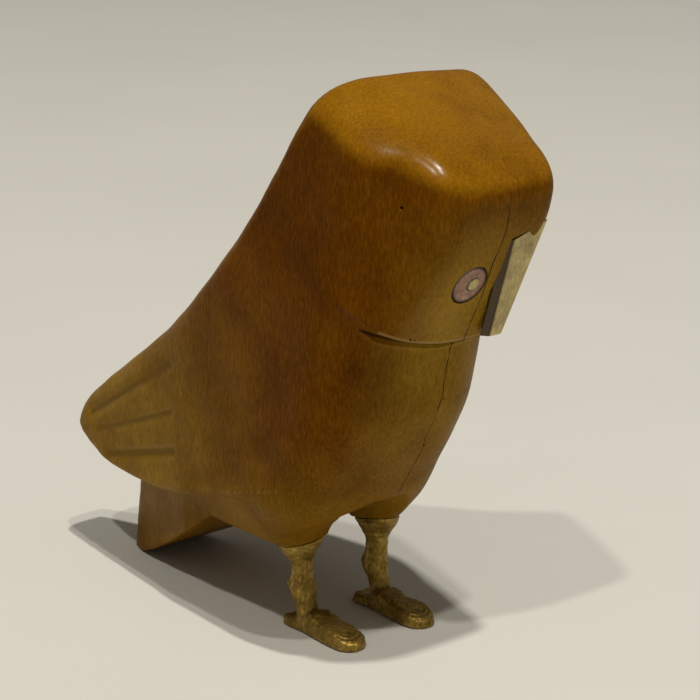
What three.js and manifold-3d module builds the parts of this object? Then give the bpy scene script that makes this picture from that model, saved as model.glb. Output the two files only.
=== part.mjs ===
// A carved wooden owl with its head turned to its left, standing on two cast brass legs and its tail.
// Millimetres, +Z up, the body faces -Y, and the owl's own left is +X.
// Everything is carved from fields: a field is negative inside the wood and grows outwards in millimetres.
import * as THREE from 'three';
import { mergeVertices } from 'three/addons/utils/BufferGeometryUtils.js';
import Module from 'manifold-3d';

const wasm = await Module();
wasm.setup();

const GAP = 0.3;                       // clearance round every inlaid or seated piece
const MIDDLE = 22.3;                   // distance from between the feet to the middle of the length

const CHIN_HEIGHT = 84.6;              // underside of the face above the floor, on the centre line
const FACE_TURN = THREE.MathUtils.degToRad(73);   // angle between the two facets of the face
const WING_TIP = 97;                   // how far the wing tips reach behind the feet
const TAIL_END = 81.8;                 // how far the tail reaches behind the feet
const TAIL_OFFSET = -3;                // the tail was cut a little off the centre line
const THIGH_X = 12.9;
const THIGH_Y = 7.7;
const THIGH_BOTTOM = 24.2;             // at the middle of each thigh
const RISE_FORWARDS = 0.22;            // the thighs' flat bottoms rise towards the breast
const RISE_INWARDS = 0.15;             // and towards each other
const EDGE_SOFTNESS = 1.6;              // rounding of the wings' lower edges
const CROWDING = 0.45;                 // how much closer the rays stand below the core than above it

// Profiles: pairs of position and value, in millimetres
const FACE_LINE = [[84, -35.8], [95, -41.2], [105, -45.9], [115.6, -50], [124, -52.2], [135, -54]];
const BREAST_LINE = [[24, -1], [39, -14], [47, -18.6], [55.6, -23.7], [65.7, -28.3], [74, -30.1], [84, -32],
  [92, -33.4]];
const BACK_LINE = [[-14, 149], [-6.7, 138.8], [2.6, 123.8], [14.2, 106.9], [30.4, 89.2], [47, 74.8], [65, 62.2],
  [82, 50.9], [92, 43.6], [98, 36]];
const HALF_WIDTH = [[-50, 31], [-20, 32.5], [5, 32], [30, 30.5], [50, 28], [70, 25.5], [88, 23], [100, 21]];
const HEAD_LEAN = [[60, 0], [90, 0.3], [115, 2.8], [145, 5.6]];
const FACE_CORNER = [[84, 8], [100, 11.3], [108, 13.4], [113, 14.9], [118, 15.3], [126, 15.2], [131, 15.6],
  [137, 16.8]];
const WING_EDGE = [[-22, 42], [-12, 39.2], [-3, 40], [8, 39.2], [19.5, 36.2], [48.6, 29.4], [65, 28.2],
  [76, 28.4], [87, 30.4], [93, 33.4], [98, 38]];
const TAIL_HALF_WIDTH = [[5, 32], [12, 30.6], [20, 28.4], [40, 23], [60, 16.5], [80, 9.8]];
const ARCH_LINE = [[-22, 41], [-12, 38.3], [0, 35], [12, 31], [22, 29], [30, 26.5], [42, 19], [56, 10.2],
  [70, 2.6], [78, -0.6], [84, -2]];

// Thighs: half widths and depths above the flat bottoms, which the right and left thigh share only in part
const THIGH_INNER = {
  right: [[22, 5.8], [25.5, 6.2], [30, 6.4], [32, 7], [33.4, 9], [34.4, 12.9], [36, 18]],
  left: [[22, 5.9], [24.5, 6.2], [26.8, 6.8], [29, 9], [31.8, 12], [33.8, 12.9], [36, 18]],
};
const THIGH_FRONT = {
  right: [[22, 5.4], [24, 5.9], [27, 8], [28.6, 10.4], [30.4, 12.8], [31.6, 16], [33, 22], [35, 32]],
  left: [[22, 5.8], [24.3, 7.5], [26.8, 13], [29, 17], [31, 22], [33, 30]],
};
const THIGH_OUTER = [[22, 5.8], [24, 6.3], [26.7, 9.5], [29.3, 13.5], [31, 17.5], [33, 24], [35, 32]];
const THIGH_REAR = [[22, 5.8], [24, 7.4], [26.7, 13], [29, 19], [32, 26], [36, 34]];

/** A smooth curve through the pairs, level at their peaks and straight beyond both ends. */
function through(pairs) {
  const last = pairs.length - 1;
  const slope = (i) => (pairs[i + 1][1] - pairs[i][1]) / (pairs[i + 1][0] - pairs[i][0]);
  const tangent = pairs.map((pair, i) => {
    if (i === 0) return slope(0);
    if (i === last) return slope(last - 1);
    const before = slope(i - 1);
    const after = slope(i);
    return before * after <= 0 ? 0 : (2 * before * after) / (before + after);
  });
  return (t) => {
    if (t <= pairs[0][0]) return pairs[0][1] + tangent[0] * (t - pairs[0][0]);
    if (t >= pairs[last][0]) return pairs[last][1] + tangent[last] * (t - pairs[last][0]);
    let i = 0;
    while (t > pairs[i + 1][0]) i += 1;
    const step = pairs[i + 1][0] - pairs[i][0];
    const u = (t - pairs[i][0]) / step;
    const rise = u * u * (3 - 2 * u);
    return pairs[i][1] * (1 - rise) + pairs[i + 1][1] * rise
      + step * u * (1 - u) * (tangent[i] * (1 - u) - tangent[i + 1] * u);
  };
}

/** The larger of two fields, with the edge between them rounded over about the given width. */
function meet(a, b, width) {
  const h = Math.min(1, Math.max(0, 0.5 + (0.5 * (a - b)) / width));
  return b + (a - b) * h + width * h * (1 - h);
}

/** The smaller of two fields, with the corner between them filled over about the given width. */
function join(a, b, width) {
  return -meet(-a, -b, width);
}

const clamp = (value) => Math.min(1, Math.max(0, value));
const faceLine = through(FACE_LINE);
const breastLine = through(BREAST_LINE);
const backLine = through(BACK_LINE);
const halfWidth = through(HALF_WIDTH);
const headLean = through(HEAD_LEAN);
const wingEdge = through(WING_EDGE);
const tailHalfWidth = through(TAIL_HALF_WIDTH);
const archLine = through(ARCH_LINE);
const cornerX = through(FACE_CORNER);
const thighInner = { right: through(THIGH_INNER.right), left: through(THIGH_INNER.left) };
const thighFront = { right: through(THIGH_FRONT.right), left: through(THIGH_FRONT.left) };
const thighOuter = through(THIGH_OUTER);
const thighRear = through(THIGH_REAR);

/** The height of the ledge under the face, which rises towards the right cheek. */
const ledge = (x) => CHIN_HEIGHT + 0.0085 * Math.min(x, 0) ** 2;

/** The two facets of the face and the soft cheek on the right. */
function face(x, y, z) {
  const right = (faceLine(z) - y) * 0.93 + 0.0012 * x * x;
  const left = (Math.sin(FACE_TURN) * (x - cornerX(z)) - Math.cos(FACE_TURN) * (y - faceLine(z))) * 0.93;
  const cheek = -0.864 * (x + 31.5) - 0.481 * (y + 24) + 0.15 * (z - 131);
  return meet(meet(right, left, 4), cheek, 7);
}

/** The breast below the chin, shaped like a blunt prow that is sharper low down. */
function breast(x, y, z) {
  const low = clamp((46 - z) / 10);
  const right = (breastLine(z) - y) * 0.9 + 0.004 * Math.min(x, 0) ** 2;
  const left = 0.8 * (x - 12.5 + 0.9 * low) + 0.58 * (breastLine(z) - y);
  return meet(right, left, 9 - 4 * low);
}

/** Both flanks and the sloping back, without front, top or underside. */
function flanks(x, y, z) {
  const side = (Math.abs(x) - halfWidth(y) + headLean(z)) * 0.985;
  return meet(side, (z - backLine(y)) * 0.72, 7);
}

/** The crown: one large facet, a small one over the brow and one over the right temple. */
function crown(x, y, z) {
  const top = (z - 147.2 - 0.47 * (y + 12)) * 0.905 + 0.0021 * x * x + 0.04 * x + 0.05;
  const brow = (-52.6 - y) * 0.75 + (z - 123.6) * 0.66;
  const temple = -(x + 19) * 0.5 - (y + 31) * 0.36 + (z - 137.5) * 0.79;
  return meet(meet(top, brow, 2.5), temple, 3);
}

/** The head and trunk with the folded wings, down to the wings' lower edge. */
function trunk(x, y, z) {
  const front = join(meet(face(x, y, z), ledge(x) - 1.2 - z, 1), breast(x, y, z), 2);
  let solid = meet(meet(flanks(x, y, z), front, 11), crown(x, y, z), 4);
  solid = meet(solid, y - WING_TIP, 4);
  return meet(solid, (wingEdge(y) - z) * 0.8, EDGE_SOFTNESS);
}

/** Height counted from planes that are tilted like the flat bottoms of the thighs. */
function thighLevel(x, y, z) {
  return z - RISE_FORWARDS * (THIGH_Y - y) - RISE_INWARDS * (THIGH_X - Math.abs(x));
}

/** One thigh on each side: a cone above its leg, oval outside and squarer inside, that spreads into the hip. */
function thigh(x, y, z) {
  const side = x < 0 ? 'right' : 'left';
  const across = Math.abs(x) - THIGH_X;
  const along = y - THIGH_Y;
  const level = thighLevel(x, y, z);
  const width = across > 0 ? thighOuter(level) : thighInner[side](level);
  const depth = along > 0 ? thighRear(level) : thighFront[side](level);
  const power = across < 0 && along < 0 ? 3 : 2;
  const reach = (Math.abs(across / width) ** power + Math.abs(along / depth) ** power) ** (1 / power);
  return meet((reach - 1) * Math.min(width, depth) * 0.8, THIGH_BOTTOM - 3 - level, 0.8);
}

/** The lower block: belly, hips, thighs and the tail, over the arch between thighs and tail. */
function under(x, y, z) {
  const drop = Math.max(0, wingEdge(y) - z);
  const hipTaper = (0.6 * clamp((45 - y) / 30) * drop ** 2) / (drop + 0.01 + 5 * clamp((8 - y) / 12));
  const tailShift = TAIL_OFFSET * clamp((y - 30) / 45);
  const width = y < 5 ? halfWidth(y) : tailHalfWidth(y);
  const side = (Math.abs(x - tailShift) - width + hipTaper) * 0.985;
  let solid = meet(side, (y - TAIL_END + 0.22 * z) * 0.98, 1.5);
  solid = meet(solid, breast(x, y, z), 11);
  solid = meet(solid, z - wingEdge(y) - 9, 2);
  const belly = (archLine(y) - z) * 0.8;
  return Math.max(meet(solid, join(belly, thigh(x, y, z), 0.8), 0.5), -z);
}

/** The whole body of wood, before the cuts: the edge between wing and hip fades towards the breast. */
function wood(x, y, z) {
  return join(trunk(x, y, z), under(x, y, z), 0.1 + EDGE_SOFTNESS * clamp((y + 4) / 12));
}

/** A closed mesh as a solid: vertices [x, y, z] and triangles of their numbers. */
function solidOf(vertices, triangles) {
  return new wasm.Manifold(new wasm.Mesh({
    numProp: 3,
    vertProperties: new Float32Array(vertices.flat()),
    triVerts: new Uint32Array(triangles.flat()),
  }));
}

/**
 * The surface of a field, walked out from a straight core.
 * The rows fan round the core's start, go along it and fan round its end; each row is a ring of rays,
 * closer together below than above.
 */
function carve(field, start, end, rows, columns) {
  const core = new THREE.Vector3(...end).sub(new THREE.Vector3(...start));
  const axis = core.clone().normalize();
  const sideways = new THREE.Vector3(1, 0, 0).addScaledVector(axis, -axis.x).normalize();
  const upright = new THREE.Vector3().crossVectors(axis, sideways);
  const [startRows, coreRows, endRows] = rows;
  const total = startRows + coreRows + endRows;
  const ray = (row, turn) => {
    const along = clamp((row - startRows) / coreRows);
    const fan = row < startRows ? row / startRows - 1 : Math.max(0, row - startRows - coreRows) / endRows;
    const tilt = (fan * Math.PI) / 2;
    const origin = new THREE.Vector3(...start).addScaledVector(core, along);
    const direction = axis.clone().multiplyScalar(Math.sin(tilt))
      .addScaledVector(sideways, Math.cos(tilt) * Math.cos(turn))
      .addScaledVector(upright, Math.cos(tilt) * Math.sin(turn));
    let far = 0.4;
    while (field(...origin.clone().addScaledVector(direction, far).toArray()) < 0) far += 0.4;
    let near = far - 0.4;
    for (let i = 0; i < 24; i += 1) {
      const middle = (near + far) / 2;
      if (field(...origin.clone().addScaledVector(direction, middle).toArray()) < 0) near = middle;
      else far = middle;
    }
    return origin.addScaledVector(direction, far).toArray();
  };
  const vertices = [ray(0, 0)];
  for (let row = 1; row < total; row += 1) {
    for (let column = 0; column < columns; column += 1) {
      const turn = (2 * Math.PI * column) / columns;
      vertices.push(ray(row, turn + CROWDING * Math.cos(turn)));
    }
  }
  vertices.push(ray(total, 0));
  const top = vertices.length - 1;
  const at = (row, column) => 1 + (row - 1) * columns + (column % columns);
  const triangles = [];
  for (let column = 0; column < columns; column += 1) {
    triangles.push([0, at(1, column + 1), at(1, column)]);
    triangles.push([top, at(total - 1, column), at(total - 1, column + 1)]);
    for (let row = 1; row < total - 1; row += 1) {
      triangles.push([at(row, column), at(row, column + 1), at(row + 1, column)]);
      triangles.push([at(row, column + 1), at(row + 1, column + 1), at(row + 1, column)]);
    }
  }
  return solidOf(vertices, triangles);
}

/** A round disc or plug: its axis starts at a point and runs along a direction. */
function plug(point, direction, radius, length, sides) {
  const shape = new THREE.CylinderGeometry(radius, radius, length, sides);
  shape.deleteAttribute('normal');
  shape.deleteAttribute('uv');
  const turned = new THREE.Quaternion().setFromUnitVectors(new THREE.Vector3(0, 1, 0), direction);
  shape.translate(0, length / 2, 0).applyQuaternion(turned).translate(point.x, point.y, point.z);
  const merged = mergeVertices(shape, 1e-4);
  const list = merged.attributes.position;
  const vertices = Array.from({ length: list.count }, (_, i) => [list.getX(i), list.getY(i), list.getZ(i)]);
  const index = Array.from(merged.index.array);
  const triangles = [];
  for (let i = 0; i < index.length; i += 3) triangles.push(index.slice(i, i + 3));
  return solidOf(vertices, triangles);
}

// Eyes: a flat shell disc sunk into each facet of the face, with a bone pupil let into it
const EYE_HEIGHT = 100.7;
const EYE_FROM_CORNER = 17;            // along the facet, from the corner under the beak
const EYE_RADIUS = 5.0;
const EYE_DEPTH = 1.6;
const EYE_SET_BACK = 0.2;              // the disc's face lies this far under the wood
const PUPIL_RADIUS = 1.6;
const PUPIL_DEPTH = 0.9;
const PUPIL_OFFSET = 1.3;              // the pupil sits off centre, towards the beak
const FACET_TILT = THREE.MathUtils.degToRad(24);

/** Where an eye sits, which way it looks and which way along the facet the beak is. */
function eyeSeat(side) {
  const beakward = side === 'right' ? new THREE.Vector3(1, 0, 0)
    : new THREE.Vector3(-Math.cos(FACE_TURN), -Math.sin(FACE_TURN), 0);
  const level = side === 'right' ? new THREE.Vector3(0, -1, 0)
    : new THREE.Vector3(Math.sin(FACE_TURN), -Math.cos(FACE_TURN), 0);
  const outward = level.clone().multiplyScalar(Math.cos(FACET_TILT));
  outward.z = -Math.sin(FACET_TILT);
  const corner = new THREE.Vector3(cornerX(EYE_HEIGHT), faceLine(EYE_HEIGHT), EYE_HEIGHT);
  const point = corner.addScaledVector(beakward, -EYE_FROM_CORNER).addScaledVector(level, 4);
  while (face(point.x, point.y, point.z) > 0) point.addScaledVector(level, -0.02);
  return { point, outward, beakward };
}

/** The bone beak: a wedge over the corner of the face, wide above and narrow below, as eight corners. */
const BEAK_TOP = 114.6;
const BEAK_SHOULDER = 111.1;
const BEAK_BOTTOM = 85.6;
const BEAK_TOP_REACH = 11.2;           // width of each cheek of the beak at its shoulder
const BEAK_BOTTOM_REACH = 4.2;
const BEAK_SEAT = 2.6;                 // how deep the beak is let into the wood
const BEAK_RIDGE_TOP = [14.9, -48.7, BEAK_TOP];
const BEAK_RIDGE_BOTTOM = [9.3, -40.1, BEAK_BOTTOM];

function beakWedge(grow) {
  const rightward = new THREE.Vector3(-1, -0.02, 0).normalize();
  const leftward = new THREE.Vector3(Math.cos(FACE_TURN), Math.sin(FACE_TURN), 0);
  const inward = rightward.clone().add(leftward).normalize();
  const top = new THREE.Vector3(...BEAK_RIDGE_TOP).addScaledVector(inward, -grow);
  const bottom = new THREE.Vector3(...BEAK_RIDGE_BOTTOM).addScaledVector(inward, -grow);
  top.z += grow;
  bottom.z -= grow;
  const flank = (from, way, reach, drop) => {
    const point = from.clone().addScaledVector(way, reach + grow);
    point.z -= drop;
    return point;
  };
  const drop = BEAK_TOP - BEAK_SHOULDER;
  const front = [flank(top, rightward, BEAK_TOP_REACH, drop), top, flank(top, leftward, BEAK_TOP_REACH, drop),
    flank(bottom, leftward, BEAK_BOTTOM_REACH, 0), bottom, flank(bottom, rightward, BEAK_BOTTOM_REACH, 0)];
  const depth = BEAK_SEAT + 2 * grow;
  const deep = (i) => (i === 1 || i === 4 ? depth * 1.3 : depth);
  const back = front.map((point, i) => point.clone().addScaledVector(inward, deep(i)));
  const vertices = [...front, ...back].map((point) => point.toArray());
  const triangles = [[0, 5, 4], [0, 4, 1], [1, 4, 3], [1, 3, 2],
    [6, 10, 11], [6, 7, 10], [7, 9, 10], [7, 8, 9]];
  for (let i = 0; i < 6; i += 1) {
    const next = (i + 1) % 6;
    triangles.push([i, next, i + 6], [next, next + 6, i + 6]);
  }
  return solidOf(vertices, triangles);
}

// Legs: one casting each, a knotted shank on a long foot
const LEG_TOP = THIGH_BOTTOM - GAP;
const LEG_RADIUS = [[1, 3.1], [3, 3], [5, 2.8], [8, 3.05], [10, 3.6], [11.3, 3.8], [12.5, 3.5], [14, 3.05],
  [16, 2.8], [18, 3], [20, 3.9], [22, 5.05], [24, 6]];
const LEG_ACROSS = [[0, 12.2], [5, 12.5], [12, 12.5], [16, 12.75], [20, 13], [24, 12.9]];
const LEG_MIDDLE = [[0, 4.6], [4, 5.3], [6, 5.9], [8, 6.7], [10, 7.3], [12, 7.6], [24, 7.7]];
const FOOT_X = 11.9;
const FOOT_MIDDLE = -1;
const FOOT_HALF_LENGTH = 13.6;
const FOOT_HALF_WIDTH = [[-14.6, 4.4], [-11, 4.8], [-6, 4.5], [0, 4], [6, 3.7], [12.6, 3.7]];
const FOOT_TOP = [[-14.6, 2.7], [-12, 3.8], [-8, 4.4], [-4, 4.4], [-1, 5], [2, 5.9], [5, 4.6], [8, 2.8],
  [12.6, 2.5]];
const legRadius = through(LEG_RADIUS);
const legAcross = through(LEG_ACROSS);
const legMiddle = through(LEG_MIDDLE);
const footHalfWidth = through(FOOT_HALF_WIDTH);
const footTop = through(FOOT_TOP);

function shank(x, y, z) {
  const level = thighLevel(x, y, z);
  const along = z + (level - z) * clamp((z - 14) / 10);
  const round = Math.hypot(x - legAcross(z), y - legMiddle(z)) - legRadius(along);
  return Math.max(round * 0.7, level - LEG_TOP, 1 - z);
}

function foot(x, y, z) {
  const side = Math.abs(x - FOOT_X) - footHalfWidth(y);
  const ends = Math.abs(y - FOOT_MIDDLE) - FOOT_HALF_LENGTH;
  const top = z - footTop(y) + 0.03 * (x - FOOT_X) ** 2;
  return Math.max(meet(meet(side, ends, y < 0 ? 4 : 1.5), top, 1.6), -z);
}

/** A closed shape of four-cornered sections, one after the other. */
function prism(vertices, steps) {
  const triangles = [];
  for (let i = 0; i < steps; i += 1) {
    for (let k = 0; k < 4; k += 1) {
      const a = i * 4 + k;
      const b = i * 4 + ((k + 1) % 4);
      triangles.push([a, a + 4, b], [b, a + 4, b + 4]);
    }
  }
  const end = steps * 4;
  triangles.push([0, 1, 3], [1, 2, 3], [end, end + 3, end + 1], [end + 1, end + 3, end + 2]);
  return solidOf(vertices, triangles);
}

/**
 * What the knife took away under the chin: a wedge with the ledge as its flat top, whose back starts a little
 * inside the breast and comes out of it lower down. Its rows go from cheek to cheek.
 */
function throatCut() {
  const steps = 24;
  const vertices = [];
  for (let i = 0; i <= steps; i += 1) {
    const x = -30 + (48 * i) / steps;
    const top = ledge(x);
    let back = -60;
    while (meet(flanks(x, back, top), breast(x, back, top), 11) > -0.4 && back < -8) back += 0.05;
    vertices.push([x, back, top], [x, back - 1.2, top - 5.5], [x, -60, top - 5.5], [x, -60, top]);
  }
  return prism(vertices, steps);
}

/** The wedge cut between the wing tips: it starts over the tail, widens backwards and goes down behind it. */
function wingSplit() {
  const sections = [[66, 0.5, 30], [66.4, 1, 30], [67.2, 1.5, 30], [68.4, 2.1, 30], [70, 2.66, 30],
    [75.6, 4.14, 30], [76, 4.25, 27.5], [102, 11.14, 22]];
  const high = 80;
  const corners = ([y, half, low]) => [[half, y, low], [half, y, high], [-half, y, high], [-half, y, low]];
  return prism(sections.flatMap(corners), sections.length - 1);
}

function bodySolid() {
  let solid = carve(wood, [0, -24, 106], [0, 45, 47], [12, 22, 20], 52);
  for (const side of [-1, 1]) {
    const down = new THREE.Vector3(-side * RISE_INWARDS, -RISE_FORWARDS, -1).normalize();
    solid = solid.subtract(plug(new THREE.Vector3(side * THIGH_X, THIGH_Y, THIGH_BOTTOM), down, 13, 20, 32));
  }
  for (const side of ['right', 'left']) {
    const { point, outward } = eyeSeat(side);
    const bed = point.clone().addScaledVector(outward, -EYE_SET_BACK - EYE_DEPTH - GAP);
    solid = solid.subtract(plug(bed, outward, EYE_RADIUS + GAP, 8, 40));
  }
  return solid.subtract(throatCut()).subtract(wingSplit()).subtract(beakWedge(GAP));
}

const legSolid = () => carve(shank, [THIGH_X, 7.5, 20], [12.3, 5.2, 4], [3, 13, 3], 16)
  .add(carve(foot, [FOOT_X, 8, 1.3], [FOOT_X, -9, 1.3], [4, 8, 4], 18));

function eyeSolid(side) {
  const { point, outward, beakward } = eyeSeat(side);
  const bed = point.clone().addScaledVector(outward, -EYE_SET_BACK - EYE_DEPTH);
  const pocket = point.clone().addScaledVector(beakward, PUPIL_OFFSET)
    .addScaledVector(outward, -EYE_SET_BACK - PUPIL_DEPTH);
  return plug(bed, outward, EYE_RADIUS, EYE_DEPTH, 40).subtract(plug(pocket, outward, PUPIL_RADIUS + GAP, 4, 28));
}

function pupilSolid(side) {
  const { point, outward, beakward } = eyeSeat(side);
  const bed = point.clone().addScaledVector(beakward, PUPIL_OFFSET)
    .addScaledVector(outward, -EYE_SET_BACK - PUPIL_DEPTH + GAP);
  return plug(bed, outward, PUPIL_RADIUS, PUPIL_DEPTH - GAP, 28);
}

const owl = new THREE.Group();

/** Adds one solid as a named mesh, moved so that the middle of the length is at the origin. */
function place(name, solid, material, mirrored = false) {
  const mesh = solid.getMesh();
  const position = Float32Array.from(mesh.vertProperties);
  const index = Uint32Array.from(mesh.triVerts);
  for (let i = 0; i < position.length; i += 3) {
    if (mirrored) position[i] *= -1;
    position[i + 1] -= MIDDLE;
  }
  if (mirrored) {
    for (let i = 0; i < index.length; i += 3) [index[i], index[i + 1]] = [index[i + 1], index[i]];
  }
  const geometry = new THREE.BufferGeometry();
  geometry.setAttribute('position', new THREE.BufferAttribute(position, 3));
  geometry.setIndex(new THREE.BufferAttribute(index, 1));
  geometry.computeVertexNormals();
  const part = new THREE.Mesh(geometry, new THREE.MeshStandardMaterial(material));
  part.name = name;
  owl.add(part);
}

const WOOD = { color: 0x8a6420, roughness: 0.42, metalness: 0 };
const BRASS = { color: 0x7a6a38, roughness: 0.5, metalness: 0.9 };
const BONE = { color: 0xc4b684, roughness: 0.5, metalness: 0 };
const SHELL = { color: 0x9c7f68, roughness: 0.4, metalness: 0 };

place('body', bodySolid(), WOOD);
place('leg_left', legSolid(), BRASS);
place('leg_right', legSolid(), BRASS, true);
place('beak', beakWedge(0), BONE);
place('eye_right', eyeSolid('right'), SHELL);
place('eye_left', eyeSolid('left'), SHELL);
place('pupil_right', pupilSolid('right'), BONE);
place('pupil_left', pupilSolid('left'), BONE);

export default owl;
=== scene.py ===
from math import cos, pi, radians, sin

import bpy
import numpy as np
from mathutils import Matrix, Vector


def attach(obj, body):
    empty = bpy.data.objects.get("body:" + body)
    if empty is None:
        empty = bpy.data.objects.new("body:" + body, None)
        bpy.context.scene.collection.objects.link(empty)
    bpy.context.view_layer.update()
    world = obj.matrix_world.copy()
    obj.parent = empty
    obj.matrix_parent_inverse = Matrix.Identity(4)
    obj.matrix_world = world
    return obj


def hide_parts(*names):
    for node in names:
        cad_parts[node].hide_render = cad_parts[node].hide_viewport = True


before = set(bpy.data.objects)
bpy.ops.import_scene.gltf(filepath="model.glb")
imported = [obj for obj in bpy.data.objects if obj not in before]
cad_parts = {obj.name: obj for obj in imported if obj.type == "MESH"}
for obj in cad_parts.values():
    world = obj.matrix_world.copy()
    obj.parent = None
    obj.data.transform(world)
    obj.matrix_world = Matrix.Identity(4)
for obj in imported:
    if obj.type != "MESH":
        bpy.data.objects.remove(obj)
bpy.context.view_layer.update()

# Camera
# The photograph looks a little down on the owl's right front corner from about 60 cm, through a long lens.
# Lengths in this script are millimetres until a mesh is made, counted from the floor between the feet.
MM = 0.001
MIDDLE = 22.3                       # from between the feet to the middle of the owl's length
PHOTO_WIDTH = 700
FOCAL_PIXELS = 2400.0
SENSOR_WIDTH = 36.0
CAMERA_AZIMUTH = radians(-41.0)
CAMERA_ELEVATION = radians(16.5)
CAMERA_ROLL = radians(0.8)
CAMERA_DISTANCE = 624.0             # at 0.26 mm a pixel between the feet
FEET_PIXEL = (358.3, 622.0)


def in_frame(points):
    """Millimetres from between the feet to metres in the part's frame."""
    return (np.asarray(points, float) - (0.0, MIDDLE, 0.0)) * MM


def make_camera():
    """A camera placed so that the point between the feet falls on its pixel of the photograph."""
    away = Vector((sin(CAMERA_AZIMUTH) * cos(CAMERA_ELEVATION),
                   -cos(CAMERA_AZIMUTH) * cos(CAMERA_ELEVATION),
                   sin(CAMERA_ELEVATION)))
    level = Vector((cos(CAMERA_AZIMUTH), sin(CAMERA_AZIMUTH), 0.0))
    upright = away.cross(level)
    right = level * cos(CAMERA_ROLL) + upright * sin(CAMERA_ROLL)
    up = upright * cos(CAMERA_ROLL) - level * sin(CAMERA_ROLL)
    across = (FEET_PIXEL[0] - PHOTO_WIDTH / 2) / FOCAL_PIXELS
    above = -(FEET_PIXEL[1] - PHOTO_WIDTH / 2) / FOCAL_PIXELS
    place = Vector(in_frame((away - right * across - up * above) * CAMERA_DISTANCE))
    data = bpy.data.cameras.new("camera")
    data.sensor_width = SENSOR_WIDTH
    data.lens = SENSOR_WIDTH * FOCAL_PIXELS / PHOTO_WIDTH
    data.clip_start = 0.01
    camera = bpy.data.objects.new("camera", data)
    turn = Matrix((right, up, away)).transposed().to_4x4()
    camera.matrix_world = Matrix.Translation(place) @ turn
    bpy.context.scene.collection.objects.link(camera)
    bpy.context.scene.camera = camera


make_camera()


# Floor and light
# A pale cloth on a table. One warm lamp hangs nearly overhead, and two of about half its strength hang
# further in front and on the owl's right. Colours are shown as they are, without a film curve.
FLOOR_HALF = 3000.0
FLOOR_COLOUR = (0.73, 0.72, 0.66)
LIT_POINT = (0.0, 15.0, 60.0)       # what the lamps look at
LAMP_DISTANCE = 3000.0
LAMP_SIZE = 90.0
LAMP_COLOUR = (1.0, 0.96, 0.89)
ROOM_COLOUR = (1.0, 0.95, 0.86, 1.0)
ROOM_STRENGTH = 0.15
PATTERN_TURN = radians(38)          # keeps the grid of the stroke noise from lying level
bpy.context.scene.view_settings.view_transform = "Standard"


def shade(mesh, smooth=True):
    """Shades every face of a mesh smooth, or every face flat."""
    mesh.polygons.foreach_set("use_smooth", [smooth] * len(mesh.polygons))


def mesh_object(name, points, faces, smooth=True):
    """A new object at the origin from points in millimetres and faces of their numbers."""
    mesh = bpy.data.meshes.new(name)
    mesh.from_pydata(in_frame(points).tolist(), [], [tuple(face) for face in np.asarray(faces).tolist()])
    shade(mesh, smooth)
    mesh.update()
    piece = bpy.data.objects.new(name, mesh)
    bpy.context.scene.collection.objects.link(piece)
    return piece


def points_of(mesh, kind="co", items="vertices"):
    """A mesh's points, or its vertex normals, as one array."""
    values = np.empty(len(getattr(mesh, items)) * 3)
    getattr(mesh, items).foreach_get(kind, values)
    return values.reshape(-1, 3)


def new_material(name, **plain):
    """A Principled material; the plain values go straight on the shader's sockets."""
    material = bpy.data.materials.new(name)
    material.use_nodes = True
    shader = material.node_tree.nodes["Principled BSDF"]
    for socket, value in plain.items():
        shader.inputs[socket.replace("_", " ")].default_value = value
    return material, material.node_tree, shader


def add(tree, kind, inputs=(), **settings):
    """One node with its settings; inputs holds (socket, value or other socket) pairs."""
    made = tree.nodes.new(kind)
    for name, value in settings.items():
        setattr(made, name, value)
    for socket, value in inputs:
        if isinstance(value, bpy.types.NodeSocket):
            tree.links.new(value, made.inputs[socket])
        else:
            made.inputs[socket].default_value = value
    return made


def arithmetic(tree, operation, *values):
    """One sum, product or comparison of one, two or three values."""
    return add(tree, "ShaderNodeMath", enumerate(values), operation=operation).outputs[0]


def noise(tree, place, scale, **settings):
    """Smooth noise, mostly between 0.3 and 0.7, with about scale waves in a metre."""
    inputs = [("Vector", place), ("Scale", scale), *settings.items()]
    return add(tree, "ShaderNodeTexNoise", inputs).outputs["Fac"]


def relief(tree, shader, height, strength, distance):
    """Fine relief on a surface: a height of 1 stands out by the distance, in millimetres."""
    inputs = [("Height", height), ("Strength", strength), ("Distance", distance * MM)]
    bump = add(tree, "ShaderNodeBump", inputs)
    tree.links.new(bump.outputs[0], shader.inputs["Normal"])


def ramp(tree, value, stops):
    """A colour ramp through (position, colour) stops."""
    made = tree.nodes.new("ShaderNodeValToRGB")
    tree.links.new(value, made.inputs[0])
    elements = made.color_ramp.elements
    while len(elements) < len(stops):
        elements.new(0.5)
    for element, (position, colour) in zip(elements, stops):
        element.position = position
        element.color = (*colour, 1.0)
    return made.outputs[0]


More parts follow.
